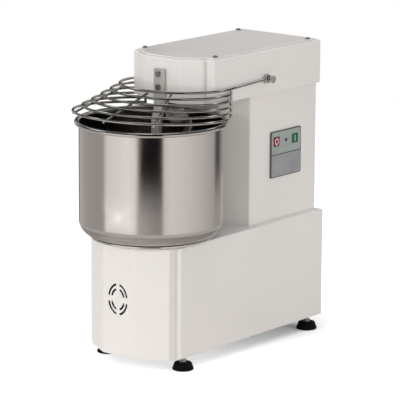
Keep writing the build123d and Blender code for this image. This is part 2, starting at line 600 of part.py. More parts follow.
cam = cylx(13, 80.2, 86.2, PIVOT_Y, PIVOT_Z)
cam -= box(79, 87.5, PIVOT_Y - 3, PIVOT_Y + 20, PIVOT_Z + 9.5, PIVOT_Z + 20)
cam -= cylx(PIVOT_R, 78, 88, PIVOT_Y, PIVOT_Z)
P["guard_cam"] = cam

ms = box(74, 90, PIVOT_Y - 2, PIVOT_Y + 26, PIVOT_Z + 14.5, PIVOT_Z + 32)
ms = ms + box(81, 85, PIVOT_Y + 4, PIVOT_Y + 8, PIVOT_Z + 13.6, PIVOT_Z + 15)
P["guard_microswitch"] = ms

# ---------------------------------------------------------------- controls
X0 = COL_W
pan = box(X0, X0 + PANEL_T, PANEL_Y[0], PANEL_Y[1], PANEL_Z[0], PANEL_Z[1])
pan = fillet([e for e in pan.edges().filter_by(Axis.X)], 2.0)
STOP = (295.8, 371.0)
START = (351.0, 370.0)
LAMP = (324.2, 370.7)
for (y, z) in (STOP, START):
    pan -= box(X0 - 2, X0 + PANEL_T + 2, y - BUTTON / 2 - 0.3, y + BUTTON / 2 + 0.3, z - BUTTON / 2 - 0.3, z + BUTTON / 2 + 0.3)
pan -= cylx(3.05, X0 - 2, X0 + PANEL_T + 2, LAMP[0], LAMP[1])
P["control_panel"] = pan

TRAVEL = 2.0
for name, (y, z) in (("stop_button", STOP), ("start_button", START)):
    b = box(X0 - 4.0, X0 + PANEL_T + BUTTON_OUT, y - BUTTON / 2, y + BUTTON / 2, z - BUTTON / 2, z + BUTTON / 2)
    b = fillet([e for e in b.edges().filter_by(Axis.X)], 1.5)
    b = fillet([e for e in b.edges() if abs(e.center().X - (X0 + PANEL_T + BUTTON_OUT)) < 0.01], 0.7)
    b += cylx(4.0, X0 - 18.0, X0 - 3.9, y, z)
    P[name] = b
P["pilot_lamp"] = cylx(3.0, X0 - 10, X0 + PANEL_T + 0.6, LAMP[0], LAMP[1])

sw = box(56, X0 - 8.0, 288.8, 365.4, 356, 383)
for (y, z) in (STOP, START):
    sw -= cylx(4.3, 50, X0, y, z)
sw -= cylx(3.3, X0 - 12, X0, LAMP[0], LAMP[1])
sw -= cyl(71, 350, 400, 0, COUNTER_Y)
P["switch_block"] = sw

cbx = box(48, 82, 300, 404, 240, 334)
cbx -= cyl(MOTOR_R + 1.5, 230, 340, 0, MOTOR_Y)
P["control_box"] = cbx

# ---------------------------------------------------------------- cable gland at the rear
GX, GZ = 62.0, 58.0
gl = cyly(8.0, BASE_REAR - 8, BASE_REAR + 6, GX, GZ)
hexb = Pos(GX, BASE_REAR + 1.5, GZ) * Rot(-90, 0, 0) * hexagon_head(10.5, 4.5)
gl += hexb
gl += cyly(9.0, BASE_REAR + 6, REAR_MOST, GX, GZ)
gl = fillet([e for e in gl.edges() if abs(e.center().Y - REAR_MOST) < 0.01 and e.length > 40], 2.0)
nut = Pos(GX, BASE_REAR - 7, GZ) * Rot(-90, 0, 0) * hexagon_head(10.5, 4.0)
gl += nut
gl -= cyly(4.25, BASE_REAR - 12, REAR_MOST + 4, GX, GZ)
P["cable_gland"] = gl

# ---------------------------------------------------------------- export
for name, shape in P.items():
    sol = shape.solids()
    body = Compound(children=list(sol)) if len(sol) > 1 else sol[0]
    body = Pos(0, Y_SHIFT, Z_SHIFT) * body
    export_step(body, f"parts/{name}.step")
print(len(P), "nodes, Y shift", Y_SHIFT)
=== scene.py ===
import bpy, bmesh, json, math
from math import sin, cos, pi, sqrt, atan2, radians
from mathutils import Vector, Matrix, Quaternion


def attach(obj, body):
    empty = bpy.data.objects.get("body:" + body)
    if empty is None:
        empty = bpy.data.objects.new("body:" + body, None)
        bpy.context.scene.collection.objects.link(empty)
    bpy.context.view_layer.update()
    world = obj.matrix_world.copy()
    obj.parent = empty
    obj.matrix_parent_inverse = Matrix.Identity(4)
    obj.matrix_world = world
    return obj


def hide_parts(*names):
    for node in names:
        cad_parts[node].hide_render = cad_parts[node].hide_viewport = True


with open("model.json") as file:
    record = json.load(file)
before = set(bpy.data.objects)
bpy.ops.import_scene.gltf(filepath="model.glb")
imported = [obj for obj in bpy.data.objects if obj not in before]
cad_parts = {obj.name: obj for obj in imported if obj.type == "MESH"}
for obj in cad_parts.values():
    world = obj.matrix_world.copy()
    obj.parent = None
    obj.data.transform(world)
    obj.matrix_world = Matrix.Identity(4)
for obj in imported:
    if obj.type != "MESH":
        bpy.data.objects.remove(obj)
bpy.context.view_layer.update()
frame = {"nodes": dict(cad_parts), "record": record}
NODES = frame["nodes"]
MM = 0.001
YS, ZS = -172.3, 3.0             # the plan's own Y = 0 and Z = 0 in the frame


def P(x, y, z):
    return Vector((x * MM, (y + YS) * MM, (z + ZS) * MM))


scene = bpy.context.scene
scene.view_settings.view_transform = "Standard"
scene.view_settings.look = "None"
scene.view_settings.exposure = 0.0
scene.view_settings.gamma = 1.0

# ------------------------------------------------------------------ camera
CAM = P(3045.6, -3550.7, 1340.3)
AZ, EL, ROLL = radians(39.2), radians(12.55), radians(0.29)
back = Vector((sin(AZ) * cos(EL), -cos(AZ) * cos(EL), sin(EL)))
right = Vector((cos(AZ), sin(AZ), 0))
up0 = back.cross(right)
rx = right * cos(ROLL) + up0 * sin(ROLL)
uy = -right * sin(ROLL) + up0 * cos(ROLL)
cam_data = bpy.data.cameras.new("camera")
cam_data.sensor_width = 36.0
cam_data.lens = 36.0 * 2696.7 / 400.0
cam_data.clip_end = 60
cam = bpy.data.objects.new("camera", cam_data)
scene.collection.objects.link(cam)
m = Matrix((rx, uy, back)).transposed().to_4x4()
m.translation = CAM
cam.matrix_world = m
scene.camera = cam


# ------------------------------------------------------------------ mesh helpers
def make(name, verts, faces, smooth=True):
    me = bpy.data.meshes.new(name)
    me.from_pydata([tuple(v) for v in verts], [], faces)
    me.validate()
    me.update()
    ob = bpy.data.objects.new(name, me)
    scene.collection.objects.link(ob)
    for p in me.polygons:
        p.use_smooth = smooth
    return ob


def recalc(ob):
    bm = bmesh.new()
    bm.from_mesh(ob.data)
    bmesh.ops.remove_doubles(bm, verts=bm.verts, dist=1e-7)
    bmesh.ops.recalc_face_normals(bm, faces=bm.faces)
    bm.to_mesh(ob.data)
    bm.free()
    return ob


def sharp(ob, angle=35):
    """Smooth faces with hard edges where two faces meet at more than this angle."""
    bm = bmesh.new()
    bm.from_mesh(ob.data)
    a = radians(angle)
    for f in bm.faces:
        f.smooth = True
    for e in bm.edges:
        if len(e.link_faces) == 2:
            e.smooth = e.calc_face_angle(0.0) < a
        else:
            e.smooth = False
    bm.to_mesh(ob.data)
    bm.free()
    return ob


def bevel(ob, width, segments=3, angle=30, harden=False):
    md = ob.modifiers.new("bevel", "BEVEL")
    md.width = width * MM
    md.segments = segments
    md.limit_method = "ANGLE"
    md.angle_limit = radians(angle)
    md.miter_outer = "MITER_ARC"
    return ob


def apply_mods(ob):
    dg = bpy.context.evaluated_depsgraph_get()
    ev = ob.evaluated_get(dg)
    me = bpy.data.meshes.new_from_object(ev)
    ob.modifiers.clear()
    ob.data = me
    return ob


def join(name, obs):
    """Joins meshes, already in place, into one object."""
    verts, faces, mats = [], [], []
    smooth = []
    mat_slots = []
    for ob in obs:
        off = len(verts)
        verts += [ob.matrix_world @ v.co for v in ob.data.vertices]
        for p in ob.data.polygons:
            faces.append([off + i for i in p.vertices])
            smooth.append(p.use_smooth)
            mt = ob.data.materials[p.material_index] if ob.data.materials else None
            if mt not in mat_slots:
                mat_slots.append(mt)
            mats.append(mat_slots.index(mt))
    me = bpy.data.meshes.new(name)
    me.from_pydata([tuple(v) for v in verts], [], faces)
    me.update()
    if mat_slots != [None]:
        for mt in mat_slots:
            me.materials.append(mt)
    for p, s, k in zip(me.polygons, smooth, mats):
        p.use_smooth = s
        p.material_index = k
    new = bpy.data.objects.new(name, me)
    scene.collection.objects.link(new)
    for ob in obs:
        bpy.data.objects.remove(ob)
    return new


def lathe(name, prof, cx=0.0, cy=0.0, segs=128, closed=True):
    """Revolves a profile of (r, z) in mm about the vertical through (cx, cy)."""
    verts, faces, idx = [], [], []
    for r, z in prof:
        if r < 1e-6:
            idx.append([len(verts)] * segs)
            verts.append(P(cx, cy, z))
        else:
            row = []
            for k in range(segs):
                a = 2 * pi * k / segs
                row.append(len(verts))
                verts.append(P(cx + r * cos(a), cy + r * sin(a), z))
            idx.append(row)
    n = len(prof)
    pairs = [(i, (i + 1) % n) for i in range(n if closed else n - 1)]
    for i, j in pairs:
        for k in range(segs):
            q = (k + 1) % segs
            f = [idx[i][k], idx[i][q], idx[j][q], idx[j][k]]
            g = []
            for v in f:
                if v not in g:
                    g.append(v)
            if len(g) >= 3:
                faces.append(g)
    ob = make(name, verts, faces)
    return recalc(ob)


def tube(name, pts, r, segs=20, cap=True, closed=False):
    """A round bar through points (Vectors, metres); r in mm, or a list."""
    n = len(pts)
    rr = r if isinstance(r, (list, tuple)) else [r] * n
    tang = []
    for i in range(n):
        a = pts[(i - 1) % n] if (i or closed) else pts[i]
        b = pts[(i + 1) % n] if (i < n - 1 or closed) else pts[i]
        tang.append((b - a).normalized())
    t0 = tang[0]
    nrm = t0.cross(Vector((0, 0, 1)))
    if nrm.length < 0.1:
        nrm = t0.cross(Vector((1, 0, 0)))
    nrm.normalize()
    frames = [nrm]
    for i in range(1, n):
        q = tang[i - 1].rotation_difference(tang[i])
        v = q @ frames[-1]
        v = (v - tang[i] * v.dot(tang[i])).normalized()
        frames.append(v)
    verts, faces = [], []
    for i in range(n):
        b = tang[i].cross(frames[i])
        for k in range(segs):
            a = 2 * pi * k / segs
            verts.append(pts[i] + (frames[i] * cos(a) + b * sin(a)) * rr[i] * MM)
    last = n if closed else n - 1
    for i in range(last):
        j = (i + 1) % n
        for k in range(segs):
            q = (k + 1) % segs
            faces.append([i * segs + k, i * segs + q, j * segs + q, j * segs + k])
    if cap and not closed:
        c0 = len(verts)
        verts.append(pts[0] - tang[0] * rr[0] * MM * 0.35)
        verts.append(pts[-1] + tang[-1] * rr[-1] * MM * 0.35)
        for k in range(segs):
            q = (k + 1) % segs
            faces.append([c0, q, k])
            faces.append([c0 + 1, (n - 1) * segs + k, (n - 1) * segs + q])
    return recalc(make(name, verts, faces))


def box_mesh(name, x0, x1, y0, y1, z0, z1, bev=0.0, segs=3):
    v = [P(x, y, z) for x in (x0, x1) for y in (y0, y1) for z in (z0, z1)]
    f = [(0, 1, 3, 2), (4, 6, 7, 5), (0, 4, 5, 1), (2, 3, 7, 6), (0, 2, 6, 4), (1, 5, 7, 3)]
    ob = recalc(make(name, v, f, smooth=False))
    if bev:
        bevel(ob, bev, segs)
        apply_mods(ob)
        sharp(ob, 50)
    return ob


def arc3(p0, p1, p2, n):
    """n + 1 points along the circle through three points."""
    a, b, c = Vector(p0), Vector(p1), Vector(p2)
    ab, ac = b - a, c - a
    nn = ab.cross(ac)
    nl = nn.length_squared
    o = a + (nn.cross(ab) * ac.length_squared + ac.cross(nn) * ab.length_squared) / (2 * nl)
    r = (a - o).length
    e1 = (a - o).normalized()
    n_ = nn.normalized()
    e2 = n_.cross(e1)

    def ang(p):
        t = atan2((p - o).dot(e2), (p - o).dot(e1))
        return t if t >= -1e-9 else t + 2 * pi
    t1, t2 = ang(b), ang(c)
    if t1 > t2:
        e2 = -e2
        t1, t2 = ang(b), ang(c)
    return [o + (e1 * cos(t2 * k / n) + e2 * sin(t2 * k / n)) * r for k in range(n + 1)]


def arc2(p0, p1, p2, n):
    return [(v.x, v.y) for v in arc3((*p0, 0), (*p1, 0), (*p2, 0), n)]


def rounded(pts, off=0.0):
    """Anticlockwise outline from (x, y, radius, steps) corners, shrunk by off."""
    n = len(pts)
    V = [Vector((p[0], p[1])) for p in pts]
    E = [(V[(i + 1) % n] - V[i]).normalized() for i in range(n)]
    out = []
    for i in range(n):
        e0, e1 = E[i - 1], E[i]
        cr = e0.x * e1.y - e0.y * e1.x
        b = Vector((-e0.y, e0.x)) + Vector((-e1.y, e1.x))
        v = V[i] + b * (2 * off / b.dot(b))
        r = max(pts[i][2] - off if cr > 0 else pts[i][2] + off, 0.25)
        h = atan2(abs(cr), e0.dot(e1)) / 2
        c = b.normalized() * (1 if cr > 0 else -1)
        t = r * math.tan(h)
        out += arc2(tuple(v - e0 * t), tuple(v + c * (r / cos(h) - r)), tuple(v + e1 * t), pts[i][3])
    return out


def outline(w, y_rear, y_corner, x_sh, y_step, x_bend, y_front, rc, rr=0.4, off=0.0, rs=2.5, rv=3.0):
    """Plan of a casing: flat sides, shoulders, and a front of three flat panels."""
    half = [(w, y_rear, rr, 6), (w, y_corner, rc, 10), (x_sh, y_corner, rs, 8), (x_sh, y_step, rv, 8), (x_bend, y_front, 16.0, 10)]
    return rounded((half + [(-x, y, r, k) for x, y, r, k in reversed(half)])[::-1], off)


def inset_points(pts, d):
    """Moves a closed outline inwards by d along the vertex normals."""
    n = len(pts)
    area = sum(pts[i][0] * pts[(i + 1) % n][1] - pts[(i + 1) % n][0] * pts[i][1] for i in range(n))
    s = 1 if area > 0 else -1
    out = []
    for i in range(n):
        p, q, r = Vector(pts[i - 1]), Vector(pts[i]), Vector(pts[(i + 1) % n])
        e1, e2 = (q - p).normalized(), (r - q).normalized()
        n1, n2 = Vector((-e1.y, e1.x)) * s, Vector((-e2.y, e2.x)) * s
        b = (n1 + n2)
        b = b / max(b.length_squared, 1e-9) * 2
        out.append((q.x + b.x * d, q.y + b.y * d))
    return out


def grid_loops(name, loops, cap_first=True, cap_last=True):
    """Skin between successive closed loops of (x, y, z) mm points."""
    n = len(loops[0])
    verts = [P(*p) for lp in loops for p in lp]
    faces = []
    for i in range(len(loops) - 1):
        for k in range(n):
            q = (k + 1) % n
            faces.append([i * n + k, i * n + q, (i + 1) * n + q, (i + 1) * n + k])
    if cap_first:
        faces.append(list(range(n))[::-1])
    if cap_last:
        faces.append([(len(loops) - 1) * n + k for k in range(n)])
    return recalc(make(name, verts, faces))


def shell(name, pair, z0, z1, t, r_top=0.0, closed_top=True):
    """Sheet casing from its outer and inner outlines, open below."""
    outer, inner = pair
    rings = [(inner, z1 - t if closed_top else z1), (inner, z0), (inset_points(outer, 0.4), z0), (outer, z0 + 0.4)]
    if r_top:
        rings.append((outer, z1 - r_top))
        for k in range(1, 7):
            a = pi / 2 * k / 6
            rings.append((inset_points(outer, r_top * (1 - cos(a))), z1 - r_top + r_top * sin(a)))
    else:
        rings += [(outer, z1 - 0.3), (inset_points(outer, 0.3), z1)]
    loops = [[(x, y, z) for x, y in pts] for pts, z in rings]
    if closed_top:
        return grid_loops(name, loops, True, True)
    n = len(loops[0])
    verts = [P(*p) for lp in loops for p in lp]
    faces = []
    L = len(loops)
    for i in range(L):
        j = (i + 1) % L
        for k in range(n):
            q = (k + 1) % n
            faces.append([i * n + k, i * n + q, j * n + q, j * n + k])
    return recalc(make(name, verts, faces))


def cut(ob, cutter, solver="EXACT"):
    md = ob.modifiers.new("cut", "BOOLEAN")
    md.operation = "DIFFERENCE"
    md.solver = solver
    md.object = cutter
    apply_mods(ob)
    bpy.data.objects.remove(cutter)
    if len(ob.data.polygons) < 8:
        raise RuntimeError("cut left nothing of " + ob.name)
    return ob


# ------------------------------------------------------------------ materials
class Mat:
    def __init__(self, name):
        self.m = bpy.data.materials.new(name)
        self.m.use_nodes = True
        self.t = self.m.node_tree
        self.n = self.t.nodes
        self.b = self.n["Principled BSDF"]
        self.tc = self.n.new("ShaderNodeTexCoord")

    def set(self, **kw):
        for k, v in kw.items():
            self.b.inputs[k.replace("_", " ")].default_value = v
        return self

    def node(self, kind, **props):
        nd = self.n.new(kind)
        for k, v in props.items():
            if k in nd.inputs:
                nd.inputs[k].default_value = v
            else:
                setattr(nd, k, v)
        return nd

    def link(self, a, b):
        self.t.links.new(a, b)

    def mapping(self, scale=(1, 1, 1), rot=(0, 0, 0), src=None):
        mp = self.n.new("ShaderNodeMapping")
        mp.inputs["Scale"].default_value = scale
        mp.inputs["Rotation"].default_value = rot
        self.link(src or self.tc.outputs["Object"], mp.inputs["Vector"])
        return mp.outputs["Vector"]

    def noise(self, scale, detail=3.0, rough=0.5, vec=None, dist=0.0):
        nz = self.n.new("ShaderNodeTexNoise")
        nz.inputs["Scale"].default_value = scale
        nz.inputs["Detail"].default_value = detail
        nz.inputs["Roughness"].default_value = rough
        nz.inputs["Distortion"].default_value = dist
        self.link(vec or self.tc.outputs["Object"], nz.inputs["Vector"])
        return nz.outputs["Fac"]

    def ramp(self, fac, stops, mode="LINEAR"):
        r = self.n.new("ShaderNodeValToRGB")
        r.color_ramp.interpolation = mode
        el = r.color_ramp.elements
        while len(el) > 1:
            el.remove(el[-1])
        for i, (p, c) in enumerate(stops):
            e = el[0] if i == 0 else el.new(p)
            e.position = p
            c = (c, c, c, 1) if isinstance(c, (int, float)) else (*c, 1) if len(c) == 3 else c
            e.color = c
        self.link(fac, r.inputs["Fac"])
        return r.outputs["Color"]

    def rng(self, fac, a, b, lo=0.3, hi=0.7):
        r = self.n.new("ShaderNodeMapRange")
        r.inputs["From Min"].default_value = lo
        r.inputs["From Max"].default_value = hi
        r.inputs["To Min"].default_value = a
        r.inputs["To Max"].default_value = b
        self.link(fac, r.inputs["Value"])
        return r.outputs["Result"]

    def math(self, op, a, b=None, clamp=False):
        nd = self.n.new("ShaderNodeMath")
        nd.operation = op
        nd.use_clamp = clamp
        for i, v in enumerate((a, b)):
            if v is None:
                continue
            if isinstance(v, (int, float)):
                nd.inputs[i].default_value = v
            else:
                self.link(v, nd.inputs[i])
        return nd.outputs["Value"]

    def mix(self, fac, a, b, blend="MIX"):
        nd = self.n.new("ShaderNodeMix")
        nd.data_type = "RGBA"
        nd.blend_type = blend
        for s, v in ((nd.inputs[0], fac), (nd.inputs[6], a), (nd.inputs[7], b)):
            if isinstance(v, (int, float)):
                s.default_value = v
            elif isinstance(v, tuple):
                s.default_value = (*v, 1) if len(v) == 3 else v
            else:
                self.link(v, s)
        return nd.outputs[2]

    def bump(self, height, strength=0.1, dist=0.0005, prev=None):
        b = self.n.new("ShaderNodeBump")
        b.inputs["Strength"].default_value = strength
        b.inputs["Distance"].default_value = dist
        self.link(height, b.inputs["Height"])
        if prev is not None:
            self.link(prev, b.inputs["Normal"])
        self.link(b.outputs["Normal"], self.b.inputs["Normal"])
        return b.outputs["Normal"]

    def pointiness(self):
        g = self.n.new("ShaderNodeNewGeometry")
        return g.outputs["Pointiness"]


def enamel(name, tint=(0.80, 0.775, 0.75), rough=0.34):
    """Semi-gloss powder-coated sheet: fine orange peel, faint unevenness."""
    k = Mat(name).set(Roughness=rough, Metallic=0.0)
    k.b.inputs["IOR"].default_value = 1.48
    k.b.inputs["Coat Weight"].default_value = 0.12
    k.b.inputs["Coat Roughness"].default_value = 0.16
    cloud = k.noise(6.0, 4.0, 0.55)
    fine = k.noise(900.0, 2.0, 0.5)
    lo = tuple(c * 0.972 for c in tint)
    col = k.mix(k.rng(cloud, 0.0, 1.0), lo, tint)
    speck = k.rng(k.noise(2600.0, 1.0), 1.0, 0.965, 0.62, 0.8)
    col = k.mix(1.0, col, k.ramp(speck, [(0.0, 0.0), (1.0, 1.0)]), "MULTIPLY")
    k.link(col, k.b.inputs["Base Color"])
    k.link(k.rng(cloud, rough - 0.05, rough + 0.06), k.b.inputs["Roughness"])
    peel = k.noise(420.0, 2.0, 0.45)
    k.bump(k.math("ADD", peel, k.math("MULTIPLY", fine, 0.35)), 0.16, 0.00012)
    return k.m


def spun_steel(name, cx, cy, base=(0.66, 0.645, 0.625), rough=0.13, grain=0.06):
    """Spun stainless: fine rings about the vertical axis through (cx, cy)."""
    k = Mat(name).set(Metallic=1.0)
    sep = k.node("ShaderNodeSeparateXYZ")
    k.link(k.tc.outputs["Object"], sep.inputs["Vector"])
    dx = k.math("SUBTRACT", sep.outputs["X"], cx)
    dy = k.math("SUBTRACT", sep.outputs["Y"], cy)
    r = k.math("SQRT", k.math("ADD", k.math("MULTIPLY", dx, dx), k.math("MULTIPLY", dy, dy)))
    ang = k.math("ARCTAN2", dy, dx)
    comb = k.node("ShaderNodeCombineXYZ")
    k.link(k.math("MULTIPLY", ang, 0.02), comb.inputs["X"])
    k.link(k.math("MULTIPLY", r, 1.0), comb.inputs["Y"])
    k.link(sep.outputs["Z"], comb.inputs["Z"])
    rings = k.noise(900.0, 3.0, 0.6, vec=comb.outputs["Vector"])
    rings2 = k.noise(190.0, 2.0, 0.5, vec=comb.outputs["Vector"])
    smear = k.noise(9.0, 4.0, 0.6)
    col = k.mix(k.rng(rings, 0.0, 1.0), tuple(c * 0.93 for c in base), base)
    k.link(col, k.b.inputs["Base Color"])
    rr = k.math("ADD", k.rng(rings, rough - 0.035, rough + 0.05), k.rng(smear, -0.02, 0.035))
    k.link(rr, k.b.inputs["Roughness"])
    k.b.inputs["Anisotropic"].default_value = 0.45
    k.bump(k.math("ADD", rings, rings2), grain, 0.00006)
    return k.m


def brushed(name, scale=(40, 40, 900), base=(0.60, 0.59, 0.575), rough=0.24, strength=0.12):
    """Satin stainless with straight grain; the grain is fine where scale is large."""
    k = Mat(name).set(Metallic=1.0)
    g = k.noise(1.0, 4.0, 0.65, vec=k.mapping(scale))
    g2 = k.noise(14.0, 3.0, 0.6)
    col = k.mix(k.rng(g, 0.0, 1.0), tuple(c * 0.86 for c in base), tuple(min(1, c * 1.05) for c in base))
    k.link(col, k.b.inputs["Base Color"])
    rr = k.math("ADD", k.rng(g, rough - 0.07, rough + 0.08), k.rng(g2, -0.03, 0.05))
    k.link(rr, k.b.inputs["Roughness"])
    k.bump(g, strength, 0.00008)
    return k.m


def wire_steel(name, base=(0.56, 0.55, 0.53), rough=0.11):
    """Electropolished round wire with faint draw marks and darker weld tint."""
    k = Mat(name).set(Metallic=1.0)
    g = k.noise(700.0, 3.0, 0.6)
    w = k.noise(30.0, 3.0, 0.5)
    col = k.mix(k.rng(w, 0.0, 1.0), tuple(c * 0.86 for c in base), base)
    k.link(col, k.b.inputs["Base Color"])
    k.link(k.math("ADD", k.rng(g, rough - 0.04, rough + 0.06), k.rng(w, -0.02, 0.04)), k.b.inputs["Roughness"])
    k.bump(g, 0.10, 0.00008)
    return k.m


def rubber(name, base=(0.0035, 0.0037, 0.0040), rough=0.62):
    k = Mat(name).set(Metallic=0.0)
    g = k.noise(1200.0, 3.0, 0.6)
    w = k.noise(60.0, 4.0, 0.6)
    col = k.mix(k.rng(w, 0.0, 1.0), base, tuple(c * 1.6 + 0.001 for c in base))
    k.link(col, k.b.inputs["Base Color"])
    k.link(k.rng(g, rough - 0.1, rough + 0.1), k.b.inputs["Roughness"])
    k.bump(k.math("ADD", g, w), 0.25, 0.0001)
    return k.m


def plastic(name, base, rough=0.4, grain=0.18, coat=0.0):
    k = Mat(name).set(Metallic=0.0)
    g = k.noise(1500.0, 2.0, 0.6)
    w = k.noise(40.0, 3.0, 0.5)
    col = k.mix(k.rng(w, 0.0, 1.0), tuple(c * 0.9 for c in base), tuple(min(1, c * 1.06) for c in base))
    k.link(col, k.b.inputs["Base Color"])
    k.link(k.rng(w, rough - 0.05, rough + 0.06), k.b.inputs["Roughness"])
    k.b.inputs["Coat Weight"].default_value = coat
    k.b.inputs["Coat Roughness"].default_value = 0.1
    k.bump(g, grain, 0.00006)
    return k.m


def cast(name, base=(0.22, 0.22, 0.23), rough=0.5, metal=1.0):
    k = Mat(name).set(Metallic=metal)
    g = k.noise(500.0, 4.0, 0.65)
    w = k.noise(20.0, 4.0, 0.6)
    col = k.mix(k.rng(w, 0.0, 1.0), tuple(c * 0.8 for c in base), tuple(min(1, c * 1.15) for c in base))
    k.link(col, k.b.inputs["Base Color"])
    k.link(k.rng(g, rough - 0.1, rough + 0.12), k.b.inputs["Roughness"])
    k.bump(g, 0.3, 0.0002)
    return k.m


M = {}
M["white_enamel"] = enamel("white_enamel")
BX, BY = 0.0, (46.4 + YS) * MM
TX, TY = 0.0, (116.5 + YS) * MM
M["stainless_bowl"] = spun_steel("stainless_bowl", BX, BY)
# darker copy of the bowl steel for the inside faces: its darker colour is painted shade inside the bowl
M["bowl_inside"] = spun_steel("bowl_inside", BX, BY, base=(0.42, 0.41, 0.40), rough=0.22, grain=0.1)
M["stainless_wire"] = wire_steel("stainless_wire")
M["stainless_bar"] = brushed("stainless_bar", (900, 900, 30))
M["hook_steel"] = wire_steel("hook_steel", (0.68, 0.67, 0.65), 0.2)
M["screw_steel"] = wire_steel("screw_steel", (0.55, 0.54, 0.53), 0.24)
M["black_rubber"] = rubber("black_rubber")
next(n for n in M["black_rubber"].node_tree.nodes if n.type == "BSDF_PRINCIPLED").inputs["Specular IOR Level"].default_value = 0.10
M["belt_rubber"] = rubber("belt_rubber", (0.02, 0.02, 0.02), 0.7)
M["dark_plastic"] = plastic("dark_plastic", (0.03, 0.03, 0.033), 0.45)
M["panel_grey"] = plastic("panel_grey", (0.335, 0.375, 0.36), 0.38, 0.1)
M["stop_red"] = plastic("stop_red", (0.17, 0.005, 0.012), 0.28, 0.05, 0.3)
M["start_green"] = plastic("start_green", (0.005, 0.09, 0.034), 0.28, 0.05, 0.3)
M["lamp_dark"] = plastic("lamp_dark", (0.02, 0.015, 0.02), 0.15, 0.02, 0.5)
M["zinc_steel"] = cast("zinc_steel", (0.52, 0.53, 0.54), 0.38)
M["shaft_steel"] = brushed("shaft_steel", (500, 500, 500), (0.56, 0.56, 0.56), 0.25)
M["cast_housing"] = cast("cast_housing", (0.16, 0.165, 0.17), 0.55)
M["motor_alloy"] = cast("motor_alloy", (0.50, 0.51, 0.53), 0.45)
# near-black material, used as painted shade on the casing's inner skin
M["casing_inside"] = plastic("casing_inside", (0.02, 0.02, 0.022), 0.7)
M["cam_plastic"] = plastic("cam_plastic", (0.62, 0.61, 0.57), 0.45)

slot_of = {s["node"]: s["material_slot"] for s in frame["record"]["subparts"]}
for n, ob in NODES.items():
    ob.data.materials.clear()
    ob.data.materials.append(M[slot_of[n]])


def piece(ob, body, slot, mats, *nodes):
    """Attaches a new piece to its body, gives it its materials and hides the CAD nodes it stands for. The slot argument
    is not used.
    """
    if mats:
        if not ob.data.materials:
            for mt in (mats if isinstance(mats, (list, tuple)) else [mats]):
                ob.data.materials.append(M[mt])
    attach(ob, body)
    if nodes:
        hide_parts(*nodes)
    return ob


# ------------------------------------------------------------------ casings
T = 2.0
BASE = (102.2, 423.8, 4.0, 92.0, -13.4, 35.5, -46.0, 4.5)
HEAD = (94.3, 420.1, 105.5, 75.5, 94.0, 40.0, 73.5, 4.5)

# base: rounded deck edge, vent slots, rear opening
base = shell("base_body", [outline(*BASE, rr=2.6, off=d) for d in (0, T)], 21.9, 225.0, T, r_top=2.8)


def vent_slot(rz, q, y0, y1, zc, squash=0.77, hw=2.0, n=16):
    """One quadrant of an oval slot ring, with rounded ends, cut along Y."""
    rx = rz * squash
    a0 = atan2(6.9 / rz, sqrt(max(1 - (6.9 / rz) ** 2, 0)))
    a1 = pi / 2 - math.asin(min(5.4 / rx, 0.9))
    line = []
    for k in range(n + 1):
        a = a0 + (a1 - a0) * k / n
        p = Vector((rx * cos(a), rz * sin(a)))
        d = Vector((-rx * sin(a), rz * cos(a))).normalized()
        line.append((p, Vector((d.y, -d.x)), d))
    pts = [p + nn * hw for p, nn, d in line]
    p, nn, d = line[-1]
    pts += [p + (nn * cos(b) + d * sin(b)) * hw for b in [pi * k / 6 for k in range(1, 6)]]
    pts += [p - nn * hw for p, nn, d in reversed(line)]
    p, nn, d = line[0]
    pts += [p - (nn * cos(b) + d * sin(b)) * hw for b in [pi * k / 6 for k in range(1, 6)]]
    sx, sz = ((1, 1), (-1, 1), (-1, -1), (1, -1))[q]
    lp = [(sx * v.x, sz * v.y) for v in pts]
    if sx * sz < 0:
        lp.reverse()
    return grid_loops("slot", [[(x, y, zc + z) for x, z in lp] for y in (y0, y1)])


VENT_Z = 125.4
slots = [vent_slot(rz, q, -60, -36, VENT_Z) for rz in (18.6, 27.2) for q in range(4)]
cut(base, join("vent_cut", slots))
rear_hole = box_mesh("rear_hole", -80, 80, 410, 430, 45, 200)
cut(base, rear_hole)
deck_hole = lathe("deck_hole", [(30, 215), (30, 235), (0, 235), (0, 215)], 0, 46.4, 64, True)
cut(base, deck_hole)
sharp(base, 32)


def shade_inner_skin(ob, pts):
    """Gives the inner skin of a casing a near-black material as painted shade, so the inside seen through the vents
    reads dark.
    """
    ob.data.materials.clear()
    ob.data.materials.append(M["white_enamel"])
    ob.data.materials.append(M["casing_inside"])
    poly = [P(x, y, 0) for x, y in pts]
    for p in ob.data.polygons:
        c, n = p.center, p.normal
        if abs(n.z) > 0.6:
            p.material_index = 0
            continue
        x, y = c.x + n.x * 0.0035, c.y + n.y * 0.0035
        inside = False
        for i in range(len(poly)):
            a, b = poly[i - 1], poly[i]
            if (a.y > y) != (b.y > y) and x < (b.x - a.x) * (y - a.y) / (b.y - a.y) + a.x:
                inside = not inside
        x, y = c.x + n.x * 0.03, c.y + n.y * 0.03
        deep = False
        for i in range(len(poly)):
            a, b = poly[i - 1], poly[i]
            if (a.y > y) != (b.y > y) and x < (b.x - a.x) * (y - a.y) / (b.y - a.y) + a.x:
                deep = not deep
        p.material_index = 1 if inside and deep else 0


# painted shade: the base's inner skin takes the near-black casing_inside material
shade_inner_skin(base, outline(*BASE, rr=2.6))
piece(base, "frame", "white_enamel", None, "base_casing")

COL_H = [(85.4, 419.9, 2.0, 6), (85.4, 222.0, 5.0, 10), (35.0, 192.9, 16.0, 10)]
COL_P = (COL_H + [(-x, y, r, k) for x, y, r, k in reversed(COL_H)])[::-1]
column = shell("column_body", [rounded(COL_P, d) for d in (0, T)], 225.0, 466.2, T, closed_top=False)
sharp(column, 32)
cut(column, box_mesh("rear_hole2", -70, 70, 410, 430, 245, 446))
cut(column, box_mesh("switch_hole", 80, 90, 282.5, 366.3, 354, 385))
sharp(column, 32)
piece(column, "frame", "white_enamel", "white_enamel", "column_casing")

